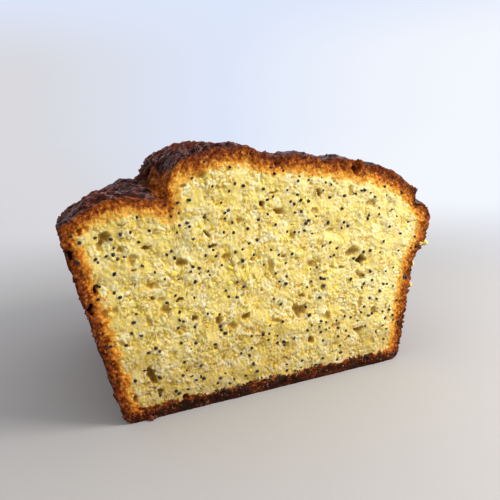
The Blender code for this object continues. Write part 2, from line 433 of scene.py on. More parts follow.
# the open crumb of the cut, with its browned rim
crumb = {
    "cellsAcross": 380, "cellsUp": 226,
    "swellSize": 0.0090, "swellHeight": 0.00045,
    "tearSize": 0.0030, "tearHeight": 0.00030,
    "granuleSize": 0.00092, "granuleHeight": 0.00034, "granuleBend": (0.0005, 0.0016),
    "grainSize": 0.00062, "grainHeight": 0.00026,
    "calmSize": 0.0058, "calmShare": 0.70, "calmFrom": (0.02, 0.30),
    "evenLoss": 0.14, "evenRise": 0.6, "evenFrom": (0.020, 0.085),
    "sideways": 0.00010, "sidewaysSize": 0.0014, "baseFade": 0.003, "rimRelief": 0.35,
    "reliefShadeOf": {"tear": 0.32, "granule": 0.55, "grain": 0.24},
    "pitRagged": 0.42, "pitRaggedSize": 0.0019, "pitShift": 0.0005, "pitShiftSize": 0.0015, "pitFull": 0.0032,
    "poreCount": 330, "poreRadius": (0.00030, 0.00095), "poreDepth": 0.65, "poreDraw": 5,
    "poreLonger": (0.6, 1.7), "poreAcross": (-0.064, 0.066), "poreUp": (0.001, 0.081),
    "rimDepth": {"left": 0.0056, "right": 0.0054, "shoulder": 0.0054, "split": 0.0040, "crown": 0.0058,
                 "slope": 0.0062, "bottom": 0.0045},
    # how golden the rim is by side: mostly the crust's own browning, with painted light in the right's gold
    # and painted shade in the bottom's dark
    "gold": {"left": 0.09, "right": 0.17, "shoulder": 0.26, "split": 0.56, "crown": 0.13, "slope": 0.12,
             "bottom": -0.58},
    "goldReach": 3.0, "edgeRough": 0.00110, "edgeSize": 0.0016, "edgeReach": 0.24,
    "wrap": (0.0004, 0.0009, 0.0014), "wrapRough": 0.00035, "wrapSize": 0.0011, "wrapIn": 0.25,
    "tuck": (0.0022, 0.0038, 0.0060), "tuckIn": 0.0005, "tuckSpread": 0.002,
}
# air holes: x, z, width, height and depth in tenths of a millimetre, and turn in degrees
airHoles = (
    (-176, 519, 16, 16, 18, 0), (-141, 480, 26, 22, 13, 0), (-85, 275, 38, 17, 19, 15),
    (-254, 297, 19, 19, 20, -35), (-279, 479, 34, 28, 17, 0), (49, 601, 38, 16, 17, -20),
    (11, 427, 21, 46, 8, 0), (-51, 457, 14, 13, 10, 0), (-195, 610, 13, 12, 26, 0),
    (-497, 591, 34, 26, 19, 20), (-511, 573, 20, 38, 18, -35), (-565, 614, 13, 25, 22, 0),
    (-597, 555, 16, 31, 34, 0), (-384, 542, 35, 15, 19, -10), (-198, 744, 31, 24, 14, 10),
    (-255, 712, 15, 15, 12, 0), (199, 646, 18, 29, 44, -8), (-4, 631, 20, 16, 42, 30),
    (178, 585, 30, 26, 12, 0), (342, 704, 35, 30, 28, -20), (394, 591, 48, 27, 10, 10),
    (316, 428, 59, 28, 18, 20), (354, 397, 32, 32, 42, 20), (320, 638, 19, 37, 12, -10),
    (483, 554, 13, 7, 16, 0), (-540, 437, 14, 38, 29, -10), (-561, 387, 14, 33, 34, -10),
    (-459, 547, 20, 26, 10, 0), (-430, 511, 29, 41, 9, -30), (-426, 480, 14, 12, 13, 0),
    (-346, 343, 34, 28, 14, -20), (-298, 368, 28, 13, 18, 10), (-378, 386, 15, 12, 17, 0),
    (-382, 424, 21, 21, 12, 0), (-493, 368, 28, 18, 7, 0), (-398, 316, 24, 25, 8, 0),
    (-526, 364, 17, 27, 10, 0), (-177, 277, 20, 30, 17, -30), (-132, 250, 27, 33, 10, 0),
    (-195, 187, 13, 13, 17, 0), (18, 239, 32, 17, 8, 0), (-301, 267, 44, 29, 7, 0),
    (349, 343, 45, 22, 12, -35), (163, 410, 19, 21, 11, 0), (275, 380, 24, 11, 13, 0),
    (206, 376, 19, 10, 10, 0), (121, 308, 22, 14, 14, 0), (108, 258, 56, 38, 20, -25),
    (209, 219, 31, 29, 12, 0), (343, 244, 20, 55, 10, 0), (147, 144, 23, 25, 18, 0),
    (398, 207, 25, 30, 11, 0), (337, 142, 33, 22, 19, 0), (243, 177, 40, 22, 9, 0),
    (197, 324, 15, 18, 12, 0), (60, 453, 14, 17, 11, 0), (-405, 141, 27, 62, 24, 12),
    (-385, 86, 19, 20, 15, 0), (-308, 47, 23, 17, 30, -10), (-446, 41, 21, 13, 26, 0),
    (-464, 76, 12, 16, 22, 0), (-509, 190, 17, 19, 14, 0), (-48, 167, 28, 17, 8, 0),
    (-86, 586, 30, 19, 8, 20), (94, 515, 22, 30, 9, 0), (-196, 560, 32, 9, 20, -38),
    (31, 663, 45, 7, 13, 0), (235, 517, 30, 17, 8, 15),
)


def pitDepth(x, z, pits):
    # how deep the pits are sunk at each place; a pit is x, z, half width, half height, depth and turn
    depth = np.zeros_like(x)
    places = np.stack((x, z, np.zeros_like(x)), axis=-1)
    ragged = 1.0 + crumb["pitRagged"] * fractalAt(places, crumb["pitRaggedSize"], 3, 31.0)
    x = x + crumb["pitShift"] * fractalAt(places, crumb["pitShiftSize"], 2, 36.0)
    z = z + crumb["pitShift"] * fractalAt(places, crumb["pitShiftSize"], 2, 46.0)
    for pitX, pitZ, halfAcross, halfUp, deep, turn in pits:
        near = (np.abs(x - pitX) < halfAcross + halfUp) & (np.abs(z - pitZ) < halfAcross + halfUp)
        c, s = math.cos(turn), math.sin(turn)
        dx, dz = x[near] - pitX, z[near] - pitZ
        away = np.hypot((dx * c + dz * s) / halfAcross, (dz * c - dx * s) / halfUp) * ragged[near]
        bowl = deep * np.sqrt(np.maximum(0.0, 1.0 - np.minimum(away, 1.0) ** 2))
        depth[near] = np.maximum(depth[near], bowl)
    return depth


def crumbPits():
    # the air holes, and small pores at places drawn at random, most of them near the least size
    pits = []
    for *tenths, turn in airHoles:
        x, z, wide, high, deep = [part / 1e4 for part in tenths]
        pits.append((x, z, wide / 2, high / 2, deep, math.radians(turn)))
    draw = random.Random(crumb["poreDraw"])
    least, most = crumb["poreRadius"]
    for _ in range(crumb["poreCount"]):
        radius = least + (most - least) * draw.random() ** 2.6
        longer = draw.uniform(*crumb["poreLonger"])
        x, z = draw.uniform(*crumb["poreAcross"]), draw.uniform(*crumb["poreUp"])
        turn = draw.uniform(0, 3.1)
        pits.append((x, z, radius * longer, radius / longer**0.5, radius * crumb["poreDepth"], turn))
    return pits


def outlineDistance(x, z):
    # how far places on the cut lie from its edge, in crust thicknesses, and how golden that edge is
    wallUp = np.linspace(0.0, 1.0, 160)
    crest, lean = topPoints[7][0], topPoints[13][0]
    edges = {
        "left": loafPoints(-1.0, wallUp, 0.0), "right": loafPoints(1.0, wallUp, 0.0),
        "shoulder": loafPoints(np.linspace(-1.0, splitAcross, 160), 1.0, 0.0),
        "split": loafPoints(np.linspace(splitAcross, crest, 80), 1.0, 0.0),
        "crown": loafPoints(np.linspace(crest, lean, 240), 1.0, 0.0),
        "slope": loafPoints(np.linspace(lean, 1.0, 100), 1.0, 0.0),
        "bottom": loafPoints(np.linspace(-1.0, 1.0, 200), 0.0, 0.0),
    }
    shares, gold, weight = [], 0.0, 0.0
    for side, line in edges.items():
        away = np.full(x.shape, 1.0)
        for edgeX, edgeZ in line[:, (0, 2)]:
            away = np.minimum(away, np.hypot(x - edgeX, z - edgeZ))
        shares.append(away / crumb["rimDepth"][side])
        nearness = np.exp(-crumb["goldReach"] * np.minimum(shares[-1], 12.0))
        gold = gold + nearness * crumb["gold"][side]
        weight = weight + nearness
    return np.minimum.reduce(shares), gold / weight


def crumbHeight(points):
    # how far the crumb stands out of the cut, with its relief height, which paints shade into the hollows,
    # and its pits and calm places for its colour
    x, z = points[..., 0], points[..., 2]
    swell = noiseAt(points, crumb["swellSize"], 3.0) * crumb["swellHeight"]
    tear = fractalAt(points, crumb["tearSize"], 3, 9.0, 0.7) * crumb["tearHeight"]
    bent = pushed(points, points, *crumb["granuleBend"], (40.0, 50.0, 60.0))
    away = nearestCell(bent, crumb["granuleSize"])
    calm = smoothStep(*crumb["calmFrom"], fractalAt(points, crumb["calmSize"], 2, 77.0))
    # the upper right broke more evenly
    even = 1.0 - crumb["evenLoss"] * smoothStep(*crumb["evenFrom"], x + crumb["evenRise"] * z)
    lively = (1.0 - crumb["calmShare"] * calm) * even
    granule = (0.45 - np.minimum(away, 0.9)) * crumb["granuleHeight"] * 1.6 * lively
    grain = noiseAt(points, crumb["grainSize"], 17.0) * crumb["grainHeight"] * lively
    pits = pitDepth(x, z, crumbPits())
    height = swell + tear + granule + grain - pits
    reliefShadeOf = crumb["reliefShadeOf"]
    tone = tear / crumb["tearHeight"] * reliefShadeOf["tear"] + granule / crumb["granuleHeight"] * reliefShadeOf["granule"]
    tone = tone + grain / crumb["grainHeight"] * reliefShadeOf["grain"]
    return height, tone, pits, calm


def buildCrumb():
    across = np.linspace(-1.0, 1.0, crumb["cellsAcross"] + 1)
    up = np.linspace(0.0, 1.0, crumb["cellsUp"] + 1)
    smooth = loafPoints(across[None, :], up[:, None], 0.0)
    rimShare, gold = outlineDistance(smooth[..., 0], smooth[..., 2])
    height, tone, pits, calm = crumbHeight(smooth)
    base = np.minimum(1.0, smooth[..., 2] / crumb["baseFade"])
    cut = noiseAt(smooth, loaf["cutSize"]) * loaf["cutHeight"] * base
    lift = np.where(up[:, None] * np.ones_like(across) >= 1.0, 1.0, up[:, None] ** 8)
    points = smooth.copy()
    points[..., 2] += lumps(smooth) * lift
    points[..., 1] += cut - height * np.minimum(1.0, rimShare * 2.0 + crumb["rimRelief"])
    slide = crumb["sideways"] * base
    points[..., 0] += noiseAt(smooth, crumb["sidewaysSize"], 71.0) * slide
    points[..., 2] += noiseAt(smooth, crumb["sidewaysSize"], 83.0) * slide
    # the crust's outer edge is torn in and out
    ragged = fractalAt(smooth, crumb["edgeSize"], 2, 55.0) * crumb["edgeRough"]
    ragged = ragged * np.clip(1 - rimShare / crumb["edgeReach"], 0.0, 1.0) * base
    points -= towards(cutMiddle, smooth, 1) * ragged[..., None]
    points[..., 2] = np.maximum(points[..., 2], 0.0)
    # from its edge the crust wraps round into the loaf, and ends in a tucked rim
    rows, columns = rimShare.shape
    ring = edgeRing(rows, columns)
    ringRow, ringColumn = np.array(ring).T
    layers = []
    for depth in crumb["wrap"] + crumb["tuck"]:
        layer = loafPoints(across[ringColumn], up[ringRow], depth)
        layer[..., 2] += np.where(up[ringRow] >= 1.0, lumps(layer), 0.0)
        inward = towards(cutMiddle, layer, 1)
        if depth in crumb["tuck"]:
            layer += inward * crumb["tuckIn"] * (1 + depth / crumb["tuckSpread"])
        else:
            rough = noiseAt(layer, crumb["wrapSize"], 91.0) + crumb["wrapIn"]
            layer += inward * rough[:, None] * crumb["wrapRough"]
        layer[..., 2] = np.maximum(layer[..., 2], 0.0)
        layers.append(layer)
    extra = len(ring) * len(layers)
    attributes = {
        "rimShare": padded(rimShare, extra), "tone": padded(tone, extra, -0.3),
        "pit": padded(np.minimum(pits / crumb["pitFull"], 1.0), extra), "calm": padded(calm, extra),
        "gold": np.concatenate((gold.ravel(), np.tile(gold[ringRow, ringColumn], len(layers)))),
    }
    faces = wrappedFaces(rows, columns, ring, len(layers))
    allPoints = np.concatenate([points.reshape(-1, 3)] + layers)
    return makePiece("cake_crumb", allPoints, faces, attributes), points, rimShare, pits


# the glossy, wrinkled top crust
lid = {
    "cellsAcross": 300, "cellsBack": 262, "front": 0.0009,
    "wrinkleSize": 0.0036, "wrinkleHeight": 0.00115,
    "creaseSize": 0.0016, "creaseHeight": 0.00062,
    "bend": (0.0012, 0.005), "stretch": (1.0, 1.35, 1.0), "foldPatch": 0.013,
    "crackRough": 0.0013, "crackSize": 0.0026, "knobSize": 0.0017, "knobHeight": 0.0005,
    "cragSize": 0.0034, "cragHeight": 0.0024, "cragBlunt": 0.010, "cragLonger": 0.40,
    "smoothSide": (0.002, 0.020), "smoothShare": 0.5,
    "splitCrown": 0.068, "splitShoulder": 0.075, "splitWiden": 0.8, "splitWidenSize": 0.011,
    "bareFade": (0.010, 0.042), "bareLoss": 0.62,
    "skirtIn": 0.0016, "skirtDrop": 0.0012, "skirtFront": 0.0050,
    "lowIn": 0.004, "lowFront": 0.0080, "lowZ": 0.047,
    "settleReach": 0.0022, "settleDrop": 0.0002, "reliefForFullShade": 0.0008, "evenAt": (0.0, 0.034, 0.070),
    # x, y and the spread in x and in y, which in the hollow follow its depth
    "roughHump": (-0.020, 0.030, 0.012, 0.030),
    "hollow": (0.0027, -0.0240, 0.046, 0.0072, 0.026),
}


def moundAt(points, x, y, spreadX, spreadY):
    # 1 in the middle of a place on the top, fading out round it
    return np.exp(-((points[..., 0] - x) / spreadX) ** 2 - ((points[..., 1] - y) / spreadY) ** 2)


def splitNearness(across, y):
    # 1 in the split and on its wall, fading out over the crown, now wider and now narrower
    line = np.stack((y, y * 0.0, y * 0.0), axis=-1)
    wider = 1.0 + lid["splitWiden"] * noiseAt(line, lid["splitWidenSize"]) * smoothStep(0.004, 0.020, y)
    away = (across - splitAcross)[None, :] / wider[:, None]
    return np.exp(-np.where(away > 0, away / lid["splitCrown"], -away / lid["splitShoulder"]) ** 2)


def buildLid():
    # columns lie evenly along the top's own curves, so the split's wall gets its share
    dense = np.linspace(-1.0, 1.0, 2001)
    length = np.zeros(len(dense))
    for place in lid["evenAt"]:
        line = loafPoints(dense, 1.0, place)
        length[1:] += np.cumsum(np.linalg.norm(np.diff(line, axis=0), axis=1))
    across = np.interp(np.linspace(0.0, length[-1], lid["cellsAcross"] + 1), length, dense)
    y = lid["front"] + (loaf["rimLength"] - lid["front"]) * np.linspace(0.0, 1.0, lid["cellsBack"] + 1)
    smooth = loafPoints(across[None, :], 1.0, y[:, None])
    base = smooth.copy()
    base[..., 2] += lumps(smooth)
    normal = gridNormals(base)
    normal = normal * np.where(normal[..., 2:3] < 0, -1.0, 1.0)
    near = splitNearness(across, y)
    bent = pushed(smooth * np.array(lid["stretch"]), smooth, *lid["bend"], (5.0, 6.0, 7.0))
    wrinkle = (ridged(bent, lid["wrinkleSize"], 21.0) - 0.55) * lid["wrinkleHeight"]
    crease = (ridged(bent, lid["creaseSize"], 27.0) - 0.55) * lid["creaseHeight"]
    hump = moundAt(smooth, *lid["roughHump"])
    knob = np.minimum(nearestCell(bent, lid["knobSize"], 4.0), 0.9)
    crackle = (0.4 - knob) * lid["knobHeight"] * np.maximum(near, hump)
    crackle = crackle + fractalAt(smooth, lid["crackSize"], 3, 14.0) * lid["crackRough"] * near
    settle = 0.15 + 0.85 * smoothStep(0.0, lid["settleReach"], y - lid["front"])[:, None]
    # the split's rough side stands in crags, the right side is smooth like a film
    folded = bent * np.array((lid["cragLonger"], 1.0, lid["cragLonger"]))
    crag = np.maximum(ridged(folded, lid["cragSize"], 47.0, lid["cragBlunt"]) - 0.40, -0.3)
    crag = crag * lid["cragHeight"] * hump
    film = smoothStep(*lid["smoothSide"], smooth[..., 0]) * (1 - hump)
    wrinkled = 0.45 + 0.9 * smoothStep(-0.25, 0.35, noiseAt(smooth, lid["foldPatch"], 62.0))
    folds = wrinkled * (wrinkle + crease) * (1 - 0.6 * near)
    folds = folds * (1 - lid["smoothShare"] * film) * (1 - 0.5 * hump)
    relief = (folds + crackle * (1 - 0.7 * film) + crag) * settle - lid["settleDrop"] * (1 - settle)
    points = base + normal * relief[..., None]
    points[..., 2] -= lid["hollow"][0] * moundAt(smooth, *lid["hollow"][1:]) * settle
    # a hidden skirt goes in and down from the edge
    rows, columns = relief.shape
    ring = edgeRing(rows, columns)
    edge = np.array([points[r, c] for r, c in ring])
    inward = towards(loafMiddle, edge, 2)
    skirt = edge + inward * lid["skirtIn"]
    skirt[..., 1] = np.maximum(skirt[..., 1], lid["skirtFront"])
    low = skirt + inward * lid["lowIn"]
    low[..., 1] = np.maximum(low[..., 1], lid["lowFront"])
    low[..., 2] = lid["lowZ"]
    skirt[..., 2] -= lid["skirtDrop"]
    # the split shows less bare crumb towards the baked end
    bareShare = 1.0 - lid["bareLoss"] * smoothStep(*lid["bareFade"], y)[:, None]
    extra = 2 * len(ring)
    attributes = {
        "split": padded(near * bareShare, extra), "tone": padded(relief / lid["reliefForFullShade"], extra),
        "film": padded(film, extra),
    }
    allPoints = np.concatenate((points.reshape(-1, 3), skirt, low))
    faces = wrappedFaces(rows, columns, ring, 2)
    return makePiece("top_crust", allPoints, faces, attributes), points


# the crust that the tin baked: walls, end and base
wall = {
    "step": 0.00062, "rows": 104, "front": 0.0009,
    "ribSize": 0.0030, "ribHeight": 0.00030, "pitSize": 0.0020, "pitHeight": 0.00050, "grainHeight": 0.00020,
    "ribStretch": 0.28, "grainSize": 0.0011, "baseFade": 0.0030, "reliefForFullShade": 0.0004, "rowSpread": 0.94,
    "topIn": 0.0030, "topDrop": 0.0006, "lowIn": 0.004, "lowZ": 0.049, "frontCells": 24, "frontY": 0.0080,
}


def wallOutline():
    # places across and behind the cut, from the left front round the end to the right front
    reach = float(halfWidth(-1.0, loaf["rimHeight"], 0.0))
    straight = loaf["rimLength"] - wall["front"]
    sideCells = int(straight / wall["step"])
    endCells = int(2 * reach / wall["step"])
    places = [(-1.0, wall["front"] + straight * i / sideCells) for i in range(sideCells)]
    places += [(-1.0 + 2.0 * i / endCells, loaf["rimLength"]) for i in range(endCells)]
    places += [(1.0, wall["front"] + straight * (1 - i / sideCells)) for i in range(sideCells + 1)]
    return np.array(places)


def buildWalls():
    outline = wallOutline()
    across, y = outline[:, 0], outline[:, 1]
    up = 1.0 - np.linspace(0.0, 1.0, wall["rows"] + 1) ** wall["rowSpread"]
    up[-1] = 0.0
    smooth = loafPoints(across[None, :], up[:, None], y[None, :])
    normal = gridNormals(smooth)
    facingIn = (normal * towards(loafMiddle, smooth, 2)).sum(-1, keepdims=True) > 0
    normal = normal * np.where(facingIn, -1.0, 1.0)
    upRows = up[:, None] * np.ones(len(across))
    near = np.minimum(1.0, smooth[..., 2] / wall["baseFade"])
    points = smooth.copy()
    points[..., 2] += np.where(upRows >= 1.0, lumps(smooth), lumps(smooth) * upRows**8)
    tall = smooth * np.array((1.0, 1.0, wall["ribStretch"]))
    rib = noiseAt(tall, wall["ribSize"], 11.0) * wall["ribHeight"]
    pit = (np.minimum(nearestCell(smooth, wall["pitSize"], 8.0), 0.75) - 0.45) * wall["pitHeight"]
    fine = noiseAt(smooth, wall["grainSize"], 2.0) * wall["grainHeight"]
    relief = (ripples(smooth) + rib + pit + fine) * near
    points += normal * relief[..., None]
    # the hidden front closes each ring behind the cut, and the top is tucked in and down
    share = np.linspace(0.0, 1.0, wall["frontCells"] + 2)[1:-1]
    first, last = points[:, 0:1], points[:, -1:]
    front = last + (first - last) * share[None, :, None]
    front[..., 1] = np.maximum(front[..., 1], wall["frontY"])
    ringPoints = np.concatenate((points, front), axis=1)
    rows, columns = ringPoints.shape[:2]
    inward = towards(loafMiddle, ringPoints[0], 2)
    topTuck = ringPoints[0] + inward * wall["topIn"] - np.array((0.0, 0.0, wall["topDrop"]))
    topLow = topTuck + inward * wall["lowIn"]
    topLow[..., 2] = wall["lowZ"]
    allPoints = np.concatenate((topLow, topTuck, ringPoints.reshape(-1, 3)))
    allPoints[..., 2] = np.maximum(allPoints[..., 2], 0.0)
    faces = gridFaces(rows + 2, columns, closed=True)
    faces.append(tuple(range(columns)))
    faces.append(tuple((rows + 1) * columns + c for c in range(columns)))
    tone = np.zeros((rows + 2, columns))
    tone[2:, : len(across)] = relief / wall["reliefForFullShade"]
    upShare = np.zeros((rows + 2, columns))
    upShare[2:] = up[:, None]
    return makePiece("side_crust", allPoints, faces, {"tone": tone, "up": upShare}), points


# small things on the cut and in the crusts
def turnMatrix(draw):
    axis = Vector((draw.gauss(0, 1), draw.gauss(0, 1), draw.gauss(0, 1))).normalized()
    return np.array(Matrix.Rotation(draw.uniform(0, math.tau), 3, axis))


def ballPoints(detail):
    shape = bmesh.new()
    bmesh.ops.create_icosphere(shape, subdivisions=detail, radius=1.0)
    points = np.array([v.co[:] for v in shape.verts])
    faces = [tuple(v.index for v in f.verts) for f in shape.faces]
    shape.free()
    return points, faces


def scatter(name, things, shapeOf):
    # one joined mesh of small things: each is a place, a half size, a turn and a shade
    ball, ballFaces = ballPoints(3)
    points, faces, shades = [], [], []
    for n, (place, half, turn, shade) in enumerate(things):
        shaped = shapeOf(ball, n) * np.array(half)
        points.append(shaped @ turn.T + place)
        faces += [tuple(i + n * len(ball) for i in face) for face in ballFaces]
        shades.append(np.full(len(ball), shade))
    return makePiece(name, np.concatenate(points), faces, {"shade": np.concatenate(shades)})


seeds = {
    "count": 285, "crustCount": 34, "half": (0.00069, 0.00056, 0.00053), "scale": (0.72, 1.10),
    "gap": 0.0011, "sunk": 0.00014, "draw": 21, "notPastPit": 0.0006,
    "lidCount": 70, "wallCount": 110, "crustSunk": 0.00022, "crustAim": (0.0, 0.0, 0.030),
}


def seedShape(ball, n):
    # a kidney: bent along its length, with a small notch
    x, y, z = ball[:, 0], ball[:, 1], ball[:, 2]
    notch = 0.26 * np.exp(-((x / 0.35) ** 2)) * np.maximum(0.0, -z)
    return np.stack((x, y, z + notch + 0.16 * x * x), axis=-1)


def crumbSpots(points, rimShare, pits, count, draw, gap, low, high, taken):
    # places on the cut between two depths from the crust's outside, with a least gap
    rows, columns = rimShare.shape
    spots = []
    while len(spots) < count:
        r, c = draw.randrange(6, rows - 6), draw.randrange(6, columns - 6)
        place = points[r, c]
        if not low < rimShare[r, c] < high or pits[r, c] > seeds["notPastPit"]:
            continue
        if all((place[0] - q[0]) ** 2 + (place[2] - q[2]) ** 2 > gap**2 for q in taken):
            spots.append(place)
            taken.append(place)
    return spots


def crustSpots(points, count, draw):
    # places in the crust, a little below its surface
    rows, columns = points.shape[:2]
    spots = []
    for _ in range(count):
        place = points[draw.randrange(4, rows - 4), draw.randrange(4, columns - 4)]
        inward = loafMiddle + seeds["crustAim"] - place
        spots.append(place + inward / np.linalg.norm(inward) * seeds["crustSunk"])
    return spots


def buildSeeds(cutPoints, rimShare, pits, taken, lidPoints, wallPoints):
    draw = random.Random(seeds["draw"])
    spots = crumbSpots(cutPoints, rimShare, pits, seeds["count"], draw, seeds["gap"], 0.9, 99.0, taken)
    spots += crumbSpots(cutPoints, rimShare, pits, seeds["crustCount"], draw, seeds["gap"], 0.25, 0.9, taken)
    things = []
    for place in spots:
        scale = draw.uniform(*seeds["scale"])
        half = [h * scale * draw.uniform(0.90, 1.10) for h in seeds["half"]]
        sunk = np.array((0.0, seeds["sunk"] * draw.uniform(-0.5, 2.2), 0.0))
        things.append((place + sunk, half, turnMatrix(draw), draw.random()))
    inCrust = crustSpots(lidPoints, seeds["lidCount"], draw)
    inCrust += crustSpots(wallPoints, seeds["wallCount"], draw)
    for place in inCrust:
        half = [h * draw.uniform(0.72, 1.0) for h in seeds["half"]]
        things.append((place, half, turnMatrix(draw), draw.random()))
    return scatter("poppy_seeds", things, seedShape)


zest = {"count": 46, "half": (0.0008, 0.00034, 0.0006), "gap": 0.0016, "sunk": 0.00012, "draw": 33}


def flakeShape(ball, n):
    wobble = 1.0 + 0.30 * np.array([noise.noise(p) for p in (ball * 1.3 + n * 7.1).tolist()])
    return ball * wobble[:, None]


def buildZest(cutPoints, rimShare, pits, taken):
    draw = random.Random(zest["draw"])
    spots = crumbSpots(cutPoints, rimShare, pits, zest["count"], draw, zest["gap"], 1.15, 99.0, taken)
    things = []
    for place in spots:
        scale = draw.uniform(0.45, 1.25)
        half = [h * scale * draw.uniform(0.8, 1.25) for h in zest["half"]]
        turn = np.array(Matrix.Rotation(draw.uniform(0, math.tau), 3, "Y"))
        things.append((place + np.array((0.0, zest["sunk"], 0.0)), half, turn, draw.random()))
    return scatter("lemon_zest", things, flakeShape)


looseCrumbs = {
    "edgeCount": 230, "half": 0.00038, "draw": 44, "sidesFrom": 0.45, "baseFrom": 0.85,
    "depth": (-0.0002, 0.0012), "baseUp": 0.012, "darkShade": 0.30,
}
# bigger crumbs that hang on by the cut: x, y, z, half size and shade
hangingCrumbs = (
    (0.0630, 0.0012, 0.0418, 0.00125, 0.98), (0.0612, 0.0010, 0.0420, 0.00110, 0.90),
    (0.0574, 0.0010, 0.0347, 0.00085, 0.98), (0.0563, 0.0012, 0.0356, 0.00060, 0.75),
    (0.0566, 0.0012, 0.0268, 0.00075, 0.90), (0.0576, 0.0030, 0.0290, 0.00050, 0.05),
    (-0.0424, -0.0006, 0.0008, 0.00090, 0.20), (-0.0410, -0.0004, 0.0007, 0.00060, 0.12),
)


def buildLooseCrumbs():
    draw = random.Random(looseCrumbs["draw"])
    things = []
    for _ in range(looseCrumbs["edgeCount"]):
        edge = draw.random()
        if edge < looseCrumbs["sidesFrom"]:
            across, up = draw.uniform(-1, 1), 1.0
        elif edge < looseCrumbs["baseFrom"]:
            across, up = draw.choice((-1.0, 1.0)), draw.random()
        else:
            across, up = draw.uniform(-1, 1), looseCrumbs["baseUp"]
        place = loafPoints(across, up, draw.uniform(*looseCrumbs["depth"]))
        if up == 1.0:
            place = place + np.array((0.0, 0.0, float(lumps(place[None, :])[0])))
        scale = 0.5 + draw.random() ** 2
        half = [looseCrumbs["half"] * scale * draw.uniform(0.75, 1.25) for _ in range(3)]
        things.append((place, half, turnMatrix(draw), draw.uniform(0.0, looseCrumbs["darkShade"])))
    for x, y, z, size, shade in hangingCrumbs:
        half = [size * draw.uniform(0.8, 1.15) for _ in range(3)]
        things.append((np.array((x, y, z)), half, turnMatrix(draw), shade))
    return scatter("loose_crumbs", things, clodShape)


def clodShape(ball, n):
    rough = np.array([noise.fractal(p, 0.8, 2.1, 3) for p in (ball * 1.5 + n * 3.7).tolist()])
    return ball * (1.0 + 0.42 * rough)[:, None]


# the crumb's colours: places on a ramp, each with its colour as seen in the photo
crumbRamps = {
    "crumb": ((0.0, (170, 124, 34)), (0.22, (225, 185, 68)), (0.48, (244, 228, 166)), (0.78, (250, 241, 194)),
              (1.0, (253, 243, 194))),
    # down into an air hole, darker with depth: painted shade
    "hole": ((0.08, (230, 194, 92)), (0.30, (206, 168, 70)), (0.58, (160, 122, 46)), (1.0, (60, 33, 12))),
    # from the outside of the browned rim inwards
    "rim": ((0.0, (66, 26, 10)), (0.16, (112, 48, 14)), (0.36, (150, 72, 20)), (0.56, (186, 98, 26)),
            (0.74, (216, 130, 36)), (0.90, (230, 160, 56)), (1.0, (238, 184, 80))),
}


